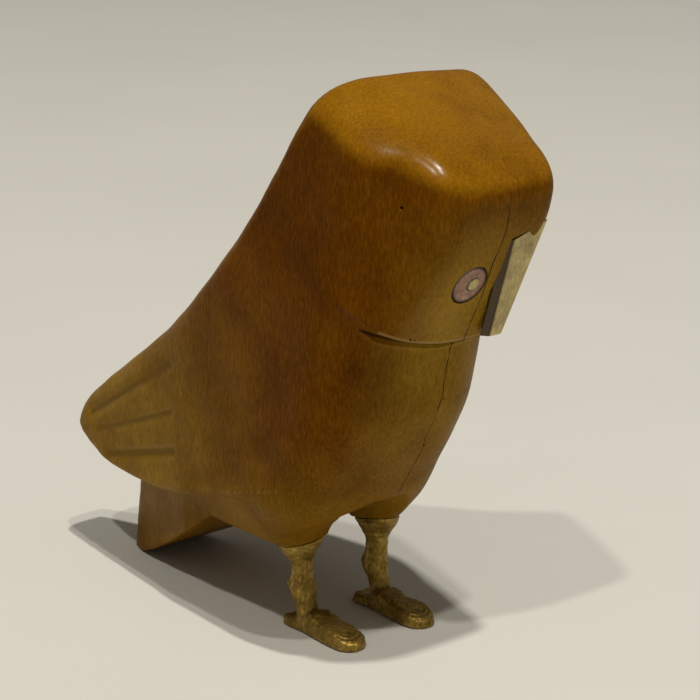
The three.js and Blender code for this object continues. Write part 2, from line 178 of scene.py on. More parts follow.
def mottle_group():
    """Shared by every aged surface: short upright strokes over broad clouds, as a tone and as a height."""
    group = bpy.data.node_groups.new("worn_mottle", "ShaderNodeTree")
    for name, start in (("Stroke Length", 3.0), ("Stroke Width", 0.5), ("Cloud Size", 25.0), ("Clouds", 0.5)):
        socket = group.interface.new_socket(name, in_out="INPUT", socket_type="NodeSocketFloat")
        socket.default_value = start
    for name in ("Tone", "Height"):
        group.interface.new_socket(name, in_out="OUTPUT", socket_type="NodeSocketFloat")
    given = group.nodes.new("NodeGroupInput").outputs
    handed = group.nodes.new("NodeGroupOutput").inputs
    place = add(group, "ShaderNodeTexCoord").outputs["Object"]

    def per_metre(millimetres):
        """How many times a length in millimetres goes into a metre."""
        return arithmetic(group, "DIVIDE", 1000.0, millimetres)

    fine, slow = per_metre(given["Stroke Width"]), per_metre(given["Stroke Length"])
    scale = add(group, "ShaderNodeCombineXYZ", [(0, fine), (1, fine), (2, slow)]).outputs[0]
    stretched = add(group, "ShaderNodeMapping",
                    [("Vector", place), ("Rotation", (PATTERN_TURN, 0, 0)), ("Scale", scale)]).outputs[0]
    strokes = noise(group, stretched, 1.0, Detail=4.0, Roughness=0.6, Distortion=0.4)
    clouds = noise(group, place, per_metre(given["Cloud Size"]), Detail=4.0, Roughness=0.55)
    tone = add(group, "ShaderNodeMix", [(0, given["Clouds"]), (2, strokes), (3, clouds)]).outputs[0]
    group.links.new(tone, handed["Tone"])
    group.links.new(strokes, handed["Height"])
    return group


WORN_MOTTLE = mottle_group()


def mottle(tree, **values):
    """The shared mottle with its own values in one material."""
    made = tree.nodes.new("ShaderNodeGroup")
    made.node_tree = WORN_MOTTLE
    for name, value in values.items():
        made.inputs[name.replace("_", " ")].default_value = value
    return made.outputs["Tone"], made.outputs["Height"]


def between(tree, value, low, high, start=0.0, end=1.0):
    """A value that goes from start to end while the input goes from low to high."""
    return add(tree, "ShaderNodeMapRange", [(0, value), (1, low), (2, high), (3, start), (4, end)]).outputs[0]


def tint(tree, share, colour, other):
    """One colour laid over another by a share from 0 to 1."""
    return add(tree, "ShaderNodeMix", [(0, share), (6, colour), (7, other)], data_type="RGBA").outputs[2]


def own_value(tree, name):
    """A value stored on the piece's own points."""
    return add(tree, "ShaderNodeAttribute", attribute_name=name).outputs["Fac"]


def store(piece, name, values):
    """Keeps one value for each point of the piece, for its material."""
    piece.data.attributes.new(name, "FLOAT", "POINT").data.foreach_set("value", np.asarray(values, float))


def make_floor():
    """A level plane with the faint unevenness and weave of cloth."""
    corners = [(-FLOOR_HALF, -FLOOR_HALF, 0), (FLOOR_HALF, -FLOOR_HALF, 0),
               (FLOOR_HALF, FLOOR_HALF, 0), (-FLOOR_HALF, FLOOR_HALF, 0)]
    piece = mesh_object("floor", corners, [(0, 1, 2, 3)])
    material, tree, shader = new_material("pale_cloth", Roughness=0.9)
    place = add(tree, "ShaderNodeTexCoord").outputs["Object"]
    unevenness = noise(tree, place, 9.0, Detail=3.0)
    darker = tuple(part * 0.97 for part in FLOOR_COLOUR)
    tree.links.new(ramp(tree, unevenness, [(0.3, darker), (0.7, FLOOR_COLOUR)]), shader.inputs["Base Color"])
    weave = noise(tree, place, 1100.0, Detail=1.0)
    relief(tree, shader, weave, strength=0.12, distance=0.4)
    piece.data.materials.append(material)


def lamp(name, direction, watts):
    """A square area lamp that looks back at the owl's middle from the given direction."""
    data = bpy.data.lights.new(name, "AREA")
    data.size = LAMP_SIZE * MM
    data.energy = watts
    data.color = LAMP_COLOUR
    lamp_object = bpy.data.objects.new(name, data)
    way = Vector(direction).normalized()
    place = Vector(in_frame(LIT_POINT)) + way * LAMP_DISTANCE * MM
    lamp_object.matrix_world = Matrix.Translation(place) @ way.to_track_quat("Z", "Y").to_matrix().to_4x4()
    bpy.context.scene.collection.objects.link(lamp_object)


make_floor()
lamp("lamp_overhead", (-0.06, -0.244, 1.0), 42.0)
lamp("lamp_front", (-0.15, -0.38, 1.0), 18.0)
lamp("lamp_side", (-0.5, -0.25, 1.0), 20.0)
world = bpy.data.worlds.new("room")
world.use_nodes = True
background = world.node_tree.nodes["Background"]
background.inputs["Color"].default_value = ROOM_COLOUR
background.inputs["Strength"].default_value = ROOM_STRENGTH
bpy.context.scene.world = world


# Body
# One block of golden brown wood, carved with a knife and varnished satin: head, trunk, folded wings, belly,
# thighs and tail. Its surface is carved from fields, which are negative inside the wood and grow outwards.
CHIN_HEIGHT = 84.6                  # underside of the face above the floor, on the centre line
THROAT_SPARE = 1.2                  # wood left below the ledge for the knife to take
FACE_TURN = radians(73.0)           # between the two facets of the face
CROWN_HEIGHT = 147.2                # measured at CROWN_PLACE
CROWN_PLACE = -12.0                 # in front of the feet
CROWN_SLOPE = 0.47                  # up towards the back
WING_TIP = 97.0                     # how far the wing tips reach behind the feet
TAIL_END = 81.8                     # how far the tail reaches behind the feet
TAIL_OFFSET = -3.0                  # the tail was cut a little off the centre line
THIGH_X = 12.9
THIGH_Y = 7.7
THIGH_BOTTOM = 24.2                 # at the middle of each thigh
RISE_FORWARDS = 0.22                # the thighs' flat bottoms rise towards the breast
RISE_INWARDS = 0.15                 # and towards each other
EDGE_SOFTNESS = 1.6

# Smaller facets of the head: a point on each and the way that it looks
CHEEK = ((-31.5, -24, 131), (-0.864, -0.481, 0.15))
BROW = ((0, -52.6, 123.6), (0, -0.75, 0.66))
TEMPLE = ((-19, -31, 137.5), (-0.5, -0.36, 0.79))


def through(*pairs):
    """A curve through (position, value) pairs: cubic pieces, level at peaks, straight past both ends."""
    at, value = np.array(pairs, float).T
    slope = np.diff(value) / np.diff(at)
    before, after = slope[:-1], slope[1:]
    total = np.where(before + after == 0, 1.0, before + after)
    inner = np.where(before * after <= 0, 0.0, 2 * before * after / total)
    tangent = np.concatenate([[slope[0]], inner, [slope[-1]]])

    def curve(t):
        """The value at t: a cubic with the tangents of its two neighbours."""
        i = np.clip(np.searchsorted(at, t) - 1, 0, len(at) - 2)
        step = at[i + 1] - at[i]
        u = np.clip((t - at[i]) / step, 0, 1)
        rise = u * u * (3 - 2 * u)
        inside = (value[i] * (1 - rise) + value[i + 1] * rise
                  + step * u * (1 - u) * (tangent[i] * (1 - u) - tangent[i + 1] * u))
        return inside + tangent[0] * np.minimum(t - at[0], 0) + tangent[-1] * np.maximum(t - at[-1], 0)

    return curve


face_line = through((84, -35.8), (95, -41.2), (105, -45.9), (115.6, -50), (124, -52.2), (135, -54))
breast_line = through((24, -1), (39, -14), (47, -18.6), (55.6, -23.7), (65.7, -28.3), (74, -30.1),
                      (84, -32.0), (92, -33.4))
back_line = through((-14, 149), (-6.7, 138.8), (2.6, 123.8), (14.2, 106.9), (30.4, 89.2), (47, 74.8),
                    (65, 62.2), (82, 50.9), (92, 43.6), (98, 36))
half_width = through((-50, 31), (-20, 32.5), (5, 32), (30, 30.5), (50, 28), (70, 25.5), (88, 23), (100, 21))
head_lean = through((60, 0), (90, 0.3), (115, 2.8), (145, 5.6))
wing_edge = through((-22, 42), (-12, 39.2), (-3, 40), (8, 39.2), (19.5, 36.2), (48.6, 29.4), (65, 28.2),
                    (76, 28.4), (87, 30.4), (93, 33.4), (98, 38))
tail_half_width = through((5, 32), (12, 30.6), (20, 28.4), (40, 23), (60, 16.5), (80, 9.8))
arch_line = through((-22, 41), (-12, 38.3), (0, 35), (12, 31), (22, 29), (30, 26.5), (42, 19), (56, 10.2),
                    (70, 2.6), (78, -0.6), (84, -2))
thigh_inner_right = through((22, 5.8), (25.5, 6.2), (30, 6.4), (32, 7), (33.4, 9), (34.4, 12.9), (36, 18))
thigh_inner_left = through((22, 5.9), (24.5, 6.2), (26.8, 6.8), (29, 9), (31.8, 12), (33.8, 12.9), (36, 18))
thigh_front_right = through((22, 5.4), (24, 5.9), (27, 8), (28.6, 10.4), (30.4, 12.8), (31.6, 16), (33, 22),
                            (35, 32))
thigh_front_left = through((22, 5.8), (24.3, 7.5), (26.8, 13), (29, 17), (31, 22), (33, 30))
thigh_outer = through((22, 5.8), (24, 6.3), (26.7, 9.5), (29.3, 13.5), (31, 17.5), (33, 24), (35, 32))
thigh_rear = through((22, 5.8), (24, 7.4), (26.7, 13), (29, 19), (32, 26), (36, 34))


def fade(value, start, end):
    """0 at the start and 1 at the end, straight between them and level beyond; the end may be the smaller."""
    return np.clip((value - start) / (end - start), 0, 1)


def meet(a, b, width):
    """The larger of two fields, with the edge between them rounded over about the width."""
    h = np.clip(0.5 + 0.5 * (a - b) / width, 0, 1)
    return b + (a - b) * h + width * h * (1 - h)


def join(a, b, width):
    """The smaller of two fields, with the corner between them filled over about the width."""
    return -meet(-a, -b, width)


def plane(x, y, z, facet):
    """Distance in front of a flat facet: the offsets from its point times the way it looks, added up."""
    (x0, y0, z0), (along_x, along_y, along_z) = facet
    return along_x * (x - x0) + along_y * (y - y0) + along_z * (z - z0)


corner_x = through((84, 8.0), (100, 11.3), (108, 13.4), (113, 14.9), (118, 15.3), (126, 15.2), (131, 15.6),
                   (137, 16.8))


def ledge(x):
    """The height of the ledge under the face: it rises towards the right cheek with x squared."""
    return CHIN_HEIGHT + 0.0085 * np.minimum(x, 0) ** 2


def face(x, y, z):
    """Two facets that meet at the corner, sharper beside the lower beak, and a soft cheek on the right."""
    right = (face_line(z) - y) * 0.93 + 0.0012 * x * x
    left = (sin(FACE_TURN) * (x - corner_x(z)) - cos(FACE_TURN) * (y - face_line(z))) * 0.93
    return meet(meet(right, left, 4 - 3 * fade(z, 102, 90)), plane(x, y, z, CHEEK), 7)


def breast(x, y, z):
    """A blunt prow: the breast line hollowed back with x squared, and a facet on the left, fuller below."""
    low = fade(z, 46, 36)
    right = (breast_line(z) - y) * 0.9 + 0.004 * np.minimum(x, 0) ** 2
    left = 0.8 * (x - 12.5 + 0.9 * low) + 0.58 * (breast_line(z) - y)
    return meet(right, left, 9 - 4 * low)


def flanks(x, y, z):
    """Both sides at the half width and the back under its line, rounded into each other."""
    side = (np.abs(x) - half_width(y) + head_lean(z)) * 0.985
    return meet(side, (z - back_line(y)) * 0.72, 7)


def crown(x, y, z):
    """One large facet, a small one over the brow and one over the right temple."""
    top = (z - CROWN_HEIGHT - CROWN_SLOPE * (y - CROWN_PLACE)) * 0.905 + 0.0021 * x * x + 0.04 * x + 0.05
    return meet(meet(top, plane(x, y, z, BROW), 2.5), plane(x, y, z, TEMPLE), 3)


def from_line(y, z, start, end):
    """Distance, seen from the side, to the straight line from start to end."""
    (y0, z0), (y1, z1) = start, end
    t = ((y - y0) * (y1 - y0) + (z - z0) * (z1 - z0)) / ((y1 - y0) ** 2 + (z1 - z0) ** 2)
    t = np.clip(t, 0, 1)
    return np.hypot(y - y0 - t * (y1 - y0), z - z0 - t * (z1 - z0))


# Marks on the wings as seen from the side: each gouge cut from end to end with its depth, painted dark as
# shade along its bottom, the rims beside the cuts with a pale painted highlight, and the lip
GOUGE_WIDTH = 1.4
GOUGES = (((86, 40.2), (43, 65.2), 0.8), ((82, 36.6), (42, 52.6), 0.35), ((77, 31.0), (41, 42.2), 0.8))
GOUGE_RIMS = (((87, 38.9), (43, 64.1)), ((78, 38.9), (42, 53.6)), ((77, 32.2), (41, 43.5)))
WING_LIP = ((40, 33.4), (13.2, 39.3), (-6.6, 45.0))
LIP_HEIGHT = 0.22
LIP_WIDTH = 0.9


def wing_marks(y, z):
    """Three shallow gouge cuts on each wing and a low lip that carries on the wing's lower edge."""
    depth = 0.0
    for start, end, deep in GOUGES:
        depth = depth + deep * np.exp(-(from_line(y, z, start, end) / GOUGE_WIDTH) ** 2)
    for start, end in zip(WING_LIP, WING_LIP[1:]):
        depth = depth - LIP_HEIGHT * np.exp(-(from_line(y, z, start, end) / LIP_WIDTH) ** 2)
    return depth


def knife_marks(x, y, z):
    """Slow waves of a few hundredths of a millimetre, as a knife and sanding leave."""
    return (0.05 * np.sin(0.31 * x + 0.17 * y + 0.21 * z)
            + 0.04 * np.sin(0.13 * x - 0.29 * y + 0.33 * z + 1.0)
            + 0.03 * np.sin(0.47 * z - 0.19 * x + 0.36 * y + 2.0))


def trunk(x, y, z):
    """Head and trunk with the folded wings, down to the wings' lower edge."""
    front = join(meet(face(x, y, z), ledge(x) - THROAT_SPARE - z, 1), breast(x, y, z), 2)
    solid = meet(meet(flanks(x, y, z), front, 11), crown(x, y, z), 4)
    solid = meet(solid, y - WING_TIP, 4)
    return meet(solid, (wing_edge(y) - z) * 0.8, EDGE_SOFTNESS)


def thigh_level(x, y, z):
    """Height counted from planes that are tilted like the flat bottoms of the thighs."""
    return z - RISE_FORWARDS * (THIGH_Y - y) - RISE_INWARDS * (THIGH_X - np.abs(x))


def thigh(x, y, z):
    """One on each side: a cone over its leg, oval outside and squarer inside, that spreads into the hip."""
    across = np.abs(x) - THIGH_X
    along = y - THIGH_Y
    level = thigh_level(x, y, z)
    inner = np.where(x < 0, thigh_inner_right(level), thigh_inner_left(level))
    front = np.where(x < 0, thigh_front_right(level), thigh_front_left(level))
    width = np.where(across > 0, thigh_outer(level), inner)
    depth = np.where(along > 0, thigh_rear(level), front)
    power = np.where((across < 0) & (along < 0), 3.0, 2.0)
    reach = (np.abs(across / width) ** power + np.abs(along / depth) ** power) ** (1 / power)
    return meet((reach - 1) * np.minimum(width, depth) * 0.8, THIGH_BOTTOM - 3 - level, 0.8)


def under(x, y, z):
    """The lower block: belly, hips, thighs and tail, over the arch between thighs and tail."""
    drop = np.maximum(0, wing_edge(y) - z)
    hip_taper = 0.6 * fade(y, 45, 15) * drop ** 2 / (drop + 0.01 + 5 * fade(y, 8, -4))
    tail_shift = TAIL_OFFSET * fade(y, 30, 75)
    width = np.where(y < 5, half_width(y), tail_half_width(y))
    side = (np.abs(x - tail_shift) - width + hip_taper) * 0.985
    solid = meet(side, (y - TAIL_END + 0.22 * z) * 0.98, 1.5)
    solid = meet(solid, breast(x, y, z), 11)
    solid = meet(solid, z - wing_edge(y) - 9, 2)
    belly = (arch_line(y) - z) * 0.8
    return np.maximum(meet(solid, join(belly, thigh(x, y, z), 0.8), 0.5), -z)


def wood(x, y, z):
    """The whole body before the cuts, with its marks."""
    solid = join(trunk(x, y, z), under(x, y, z), 0.1 + EDGE_SOFTNESS * fade(y, -4, 8))
    return solid + wing_marks(y, z) + knife_marks(x, y, z) * fade(z, 3, 9)


def spaced(count, crowding):
    """Count + 1 places from 0 to 1, closer together where crowding(place) is larger."""
    fine = np.linspace(0, 1, 4001)
    grown = np.concatenate([[0], np.cumsum(crowding((fine[1:] + fine[:-1]) / 2))])
    return np.interp(np.linspace(0, grown[-1], count + 1), grown, fine)


def carve(field, start, end, rows, columns):
    """
    The surface of a field, walked out from a straight core from start to end.
    Each row is a ring of rays: tilt goes from -90 to 0 degrees round the start, the rings then go along the
    core, and tilt goes from 0 to 90 degrees round the end. rows is (places, tilts), one of each per ring.
    """
    start, end = np.array(start, float), np.array(end, float)
    axis = (end - start) / np.linalg.norm(end - start)
    sideways = np.array([1.0, 0, 0]) - axis * axis[0]
    sideways /= np.linalg.norm(sideways)
    upright = np.cross(axis, sideways)
    places, tilts = rows
    turns = columns[None, :]
    origin = (start + places[:, None] * (end - start))[:, None, :] + np.zeros((1, turns.shape[1], 1))
    lean = tilts[:, None, None]
    way = (axis * np.sin(lean) + np.cos(lean) * (sideways * np.cos(turns)[..., None]
                                                 + upright * np.sin(turns)[..., None]))
    stride = 0.5
    far = np.full(way.shape[:2], stride)
    walking = np.ones(far.shape, bool)
    while walking.any():
        spot = origin[walking] + way[walking] * far[walking][:, None]
        inside = field(*spot.T) < 0
        far[walking] += np.where(inside, stride, 0.0)
        walking[walking] = inside
    near = far - stride
    for _ in range(16):
        middle = (near + far) / 2
        spot = origin + way * middle[..., None]
        inside = field(spot[..., 0], spot[..., 1], spot[..., 2]) < 0
        near = np.where(inside, middle, near)
        far = np.where(inside, far, middle)
    return origin + way * far[..., None]


def closed_rings(rings):
    """Points and triangles of rings of points, closed by one point at each end ring's middle."""
    count, columns = rings.shape[:2]
    points = np.concatenate([rings[0].mean(0)[None], rings.reshape(-1, 3), rings[-1].mean(0)[None]])
    first = 1 + np.arange(columns)
    after = np.roll(first, -1)
    step = (np.arange(count - 1) * columns)[:, None]
    a, b = first + step, after + step
    c, d = a + columns, b + columns
    wall = np.concatenate([np.stack([a, b, c], -1).reshape(-1, 3), np.stack([b, d, c], -1).reshape(-1, 3)])
    last = (count - 1) * columns
    low = np.stack([np.zeros(columns, int), after, first], -1)
    high = np.stack([np.full(columns, len(points) - 1), first + last, after + last], -1)
    return points, np.concatenate([low, wall, high])


def turned(centre, way, profile, sides):
    """A closed shape turned round an axis from a profile of (distance along it, radius) pairs."""
    way = np.array(way, float) / np.linalg.norm(way)
    flat = np.cross(way, (1.0, 0, 0) if abs(way[0]) < 0.9 else (0, 1.0, 0))
    flat /= np.linalg.norm(flat)
    other = np.cross(way, flat)
    turns = np.linspace(0, 2 * pi, sides, endpoint=False)
    spokes = np.cos(turns)[:, None] * flat + np.sin(turns)[:, None] * other
    along, radius = np.array(profile, float).T
    return closed_rings(np.array(centre, float) + along[:, None, None] * way + radius[:, None, None] * spokes)


def facing_out(points, triangles):
    """The triangles, turned over if they enclose a negative volume."""
    a, b, c = (points[triangles[:, i]] for i in range(3))
    volume = np.einsum("ij,ij->i", a, np.cross(b, c)).sum()
    return triangles if volume > 0 else triangles[:, ::-1]


def bar(edges):
    """A closed bar along its four edges, each given by its x, y and z."""
    points, triangles = closed_rings(np.stack([np.stack(edge, -1) for edge in edges], 1))
    return points, facing_out(points, triangles)


# Sizes of what is let into the face, needed here for the pockets they lie in
EYE_HEIGHT = 100.7
EYE_FROM_CORNER = 17.0              # along the facet, from the corner under the beak
EYE_RADIUS = 5.0
EYE_DEPTH = 1.6
EYE_SET_BACK = 0.2                  # behind the face, at the eye's rim
EYE_GAP = 0.35                      # round the eye
FACET_TILT = radians(24.0)          # how far the face looks down at the eye's height
GAP = 0.3                           # behind what is let in, and round the beak


def eye_seat(side):
    """Where an eye sits on its facet, which way it looks, and which way along the facet the beak is."""
    if side == "right":
        beakward, level = np.array([1.0, 0, 0]), np.array([0, -1.0, 0])
    else:
        beakward = np.array([-cos(FACE_TURN), -sin(FACE_TURN), 0])
        level = np.array([sin(FACE_TURN), -cos(FACE_TURN), 0])
    outward = level * cos(FACET_TILT) + np.array([0, 0, -sin(FACET_TILT)])
    corner = np.array([corner_x(EYE_HEIGHT), face_line(EYE_HEIGHT), EYE_HEIGHT])
    point = corner - beakward * EYE_FROM_CORNER + level * 4
    while face(*point) > 0:
        point = point - level * 0.02
    return point, outward, beakward


BEAK_TOP = 114.6
BEAK_SHOULDER = 111.1
BEAK_BOTTOM = 85.6
BEAK_TOP_REACH = 11.2               # width of each cheek of the beak at its shoulder
BEAK_BOTTOM_REACH = 4.2
BEAK_SEAT = 2.6                     # how deep the beak is let into the wood
BEAK_RIDGE_TOP = np.array([14.9, -48.7, BEAK_TOP])
BEAK_RIDGE_BOTTOM = np.array([9.3, -40.1, BEAK_BOTTOM])


def beak_corners(grow):
    """Six front corners of the beak and the six behind them, all moved out by grow."""
    rightward = np.array([-1.0, -0.02, 0])
    rightward /= np.linalg.norm(rightward)
    leftward = np.array([cos(FACE_TURN), sin(FACE_TURN), 0])
    inward = (rightward + leftward) / np.linalg.norm(rightward + leftward)
    top = BEAK_RIDGE_TOP - inward * grow + (0, 0, grow)
    bottom = BEAK_RIDGE_BOTTOM - inward * grow - (0, 0, grow)
    drop = np.array([0, 0, BEAK_TOP - BEAK_SHOULDER])
    front = np.array([top + rightward * (BEAK_TOP_REACH + grow) - drop, top,
                      top + leftward * (BEAK_TOP_REACH + grow) - drop,
                      bottom + leftward * (BEAK_BOTTOM_REACH + grow), bottom,
                      bottom + rightward * (BEAK_BOTTOM_REACH + grow)])
    depth = BEAK_SEAT + 2 * grow
    deeper = np.array([1, 1.3, 1, 1, 1.3, 1])[:, None]
    return front, front + inward * depth * deeper


def beak_pocket():
    """The pocket cut for the beak: its corners moved out by the gap, with two triangles on each side."""
    points = np.concatenate(beak_corners(GAP))
    sides = []
    for i in range(6):
        after = (i + 1) % 6
        sides += [(i, after, i + 6), (after, after + 6, i + 6)]
    caps = [(0, 5, 4), (0, 4, 1), (1, 4, 3), (1, 3, 2), (6, 10, 11), (6, 7, 10), (7, 9, 10), (7, 8, 9)]
    return points, np.array(caps + sides)


def throat_cut():
    """
    What the knife took from under the chin: a wedge under the ledge that runs out of the breast.
    Its back is found by steps from the front into the breast, until the depth is reached.
    """
    step = 0.05
    x = np.linspace(-30, 18, 97)
    top = ledge(x)
    bottom = top - 5.5
    front = np.full(x.shape, -60.0)
    back = front
    depth = 0.4 - 0.9 * fade(x, -22.5, -26.5)
    for _ in range(1040):
        outside = meet(flanks(x, back, top), breast(x, back, top), 11) > -depth
        back = np.where(outside, back + step, back)
    return bar([(x, back, top), (x, back - 1.2, bottom), (x, front, bottom), (x, front, top)])


def wing_split():
    """
    The wedge between the wing tips: it starts over the tail, widens backwards and goes down behind it.
    Each row has the place from front to rear, the half width there and the lowest height.
    """
    y, half, low = np.array([(66, 0.5, 30), (66.4, 1, 30), (67.2, 1.5, 30), (68.4, 2.1, 30), (70, 2.66, 30),
                             (75.6, 4.14, 30), (76, 4.25, 27.5), (102, 11.14, 22)]).T
    high = np.full(y.shape, 80.0)
    return bar([(half, y, low), (-half, y, low), (-half, y, high), (half, y, high)])


# Each has a place, the way out of the wood and a radius; the last two are nicks in the ledge
WORM_HOLES = (((-23.2, -39.2, 120.9), (-0.86, -0.48, 0.1), 0.55),
              ((-31.6, 16.9, 50.5), (-1.0, 0, 0), 0.32),
              ((0.3, -22.8, 54.8), (0, -0.93, -0.3), 0.45),
              ((1.0, -28.8, 67.9), (0, -0.95, -0.2), 0.3),
              ((-17.9, -37.5, 88.2), (-0.1, -0.9, -0.3), 0.5),
              ((-16.6, -37.9, 87.6), (-0.1, -0.9, -0.3), 0.35))


def body_cuts():
    """Every pocket and cut in the wood, as one mesh of separate closed shapes."""
    shapes = [beak_pocket(), throat_cut()]
    for side in ("right", "left"):
        point, outward, _ = eye_seat(side)
        floor = -EYE_SET_BACK - EYE_DEPTH - GAP
        profile = [(floor, EYE_RADIUS + EYE_GAP), (6, EYE_RADIUS + EYE_GAP)]
        shapes.append(turned(point, outward, profile, 96))
    for side in (-1, 1):
        bottom = (side * THIGH_X, THIGH_Y, THIGH_BOTTOM)
        upwards = (side * RISE_INWARDS, RISE_FORWARDS, 1)
        shapes.append(turned(bottom, upwards, [(-20, 13), (0, 13)], 64))
    for point, way, radius in WORM_HOLES:
        shapes.append(turned(point, way, [(-1.6, radius * 0.6), (1.5, radius)], 12))
    points, triangles, count = [], [], 0
    for some_points, some_triangles in shapes:
        points.append(some_points)
        triangles.append(facing_out(some_points, some_triangles) + count)
        count += len(some_points)
    return np.concatenate(points), np.concatenate(triangles)


def settle(piece):
    """Keeps what the piece's modifiers make of it as its own mesh."""
    bpy.context.view_layer.update()
    result = bpy.data.meshes.new_from_object(piece.evaluated_get(bpy.context.evaluated_depsgraph_get()))
    piece.modifiers.clear()
    piece.data = result


def cut_away(piece, points, triangles):
    """Takes a closed mesh out of a piece and keeps the result in the piece's own mesh."""
    cutter = mesh_object("cutter", points, triangles, smooth=False)
    cut = piece.modifiers.new("cut", "BOOLEAN")
    cut.operation = "DIFFERENCE"
    cut.solver = "EXACT"
    cut.object = cutter
    settle(piece)
    bpy.data.objects.remove(cutter)


def body_rows():
    """Ring places and tilts: close on the face and at the ledge, wider along the back and round the tail."""
    head_tilt = (spaced(104, lambda t: 1.0 + 0.5 * t) - 1) * pi / 2
    place = spaced(142, lambda t: 1.0 + 3.0 * np.exp(-((t - 0.075) / 0.035) ** 2))[1:]
    tail_tilt = spaced(78, lambda t: 1.3 - 0.6 * t)[1:] * pi / 2
    places = np.concatenate([np.zeros(len(head_tilt)), place, np.ones(len(tail_tilt))])
    tilts = np.concatenate([head_tilt, np.zeros(len(place)), tail_tilt])
    return places[1:-1], tilts[1:-1]


def body_turns():
    """Ring directions: closer below and on the owl's right, which the photograph shows."""
    return spaced(300, lambda t: 1.0 + 0.4 * np.sin(2 * pi * t))[:-1] * 2 * pi


HEAD_MIDDLE = (0, -24, 106)
WINGS_MIDDLE = (0, 45, 47)
body_rings = carve(wood, HEAD_MIDDLE, WINGS_MIDDLE, body_rows(), body_turns())
body_points, body_faces = closed_rings(body_rings)
body = mesh_object("wooden_body", body_points, facing_out(body_points, body_faces))
cut_away(body, *body_cuts())
cut_away(body, *wing_split())
body.data.name = "wooden_body"
shade(body.data)
body.data.set_sharp_from_angle(angle=radians(38.0))


CRACK_TOP = 124.0
CRACK_BOTTOM = 38.5
CRACK_REAR = -11.7                  # no part of the crack lies behind this
CRACK_HALF_WIDTH = 0.13
CRACK_WANDER = 0.5                  # how far it strays from the middle of the owl
CRACK_COLOUR = (0.012, 0.005, 0.001, 1.0)
# Painted shade in the bottoms of the gouge cuts
GOUGE_SHADE_COLOUR = (0.065, 0.030, 0.003, 1.0)
# Painted highlight along the rims beside the gouges and along the lip on the wing's lower edge
RIM_HIGHLIGHT_COLOUR = (0.32, 0.20, 0.045, 1.0)
# Pale band along the edge of the ledge: painted highlight, and partly wear
LEDGE_WEAR_AND_HIGHLIGHT_COLOUR = (0.34, 0.22, 0.08, 1.0)
LEDGE_SHADE_COLOUR = (0.03, 0.014, 0.003, 1.0)
NOWHERE_NEAR = 9.0                  # stored as the distance where a mark doesn't reach


def mark_wood(piece):
    """
    Stores how gold and how grey the wood is, and the distances to the gouge cuts, the lip and the ledge.
    Upward faces high on the crown and the back are gold: partly painted light from above. The face, the
    breast, the wing tips and all that is low are greyer: partly painted sheen and bounced light, partly wear.
    """
    x, y, z = (points_of(piece.data) / MM + (0.0, MIDDLE, 0.0)).T
    upward = points_of(piece.data, "vector", "vertex_normals")[:, 2]
    high = np.where(y > 0, fade(z, 50, 140), fade(z, 108, 122))
    # Gold on faces that look up: partly painted light from the lamps overhead
    store(piece, "golden_lit_top", fade(upward, 0.2, 0.5) * high)
    # Greyer on the face, breast, wing tips and low down: partly painted sheen and light bounced from the
    # floor, partly wear
    sheen_and_wear = fade(x, -27, -11) * fade(y, -10, -24) * fade(z, 126, 104)
    sheen_and_wear = np.maximum(sheen_and_wear, fade(y, -4, 46) * fade(z, 96, 56))
    sheen_and_wear = np.maximum(sheen_and_wear, 0.6 * fade(z, 60, 38))
    sheen_and_wear = np.where(z < wing_edge(y), np.minimum(sheen_and_wear, 0.6), sheen_and_wear)
    store(piece, "sheen_and_wear", sheen_and_wear)
    store(piece, "gouge_distance", np.min([from_line(y, z, start, end) for start, end, _ in GOUGES], 0))
    store(piece, "rim_distance", np.min([from_line(y, z, start, end) for start, end in GOUGE_RIMS], 0))
    lip = np.min([from_line(y, z, start, end) for start, end in zip(WING_LIP, WING_LIP[1:])], 0)
    store(piece, "lip_distance", np.where(np.abs(x) > 20, lip, NOWHERE_NEAR))
    in_front = (y < -20) & (x > -27) & (x < 17)
    store(piece, "under_ledge", np.where(in_front, ledge(x) - z, -NOWHERE_NEAR))


def crack(tree, place):
    """The dark line down the middle of the face and the breast, uneven in width: 1 in it and 0 beside it."""
    x, y, z = add(tree, "ShaderNodeSeparateXYZ", [(0, place)]).outputs
    wander = noise(tree, place, 90.0, Detail=3.0)
    shift = between(tree, wander, 0.3, 0.7, -CRACK_WANDER * MM, CRACK_WANDER * MM)
    away = arithmetic(tree, "ABSOLUTE", arithmetic(tree, "ADD", x, shift))
    uneven = noise(tree, place, 260.0, Detail=2.0)
    width = between(tree, uneven, 0.35, 0.6, 0.2 * CRACK_HALF_WIDTH * MM, CRACK_HALF_WIDTH * MM)
    beyond = arithmetic(tree, "SUBTRACT", away, width)
    line = between(tree, beyond, 0.0, 0.08 * MM, 1.0, 0.0)
    rear = CRACK_REAR - MIDDLE
    front = between(tree, y, rear * MM, (rear - 2) * MM)
    high = between(tree, z, CRACK_TOP * MM, (CRACK_TOP - 6) * MM)
    low = between(tree, z, CRACK_BOTTOM * MM, (CRACK_BOTTOM + 1) * MM)
    for limit in (front, high, low):
        line = arithmetic(tree, "MULTIPLY", line, limit)
    return line


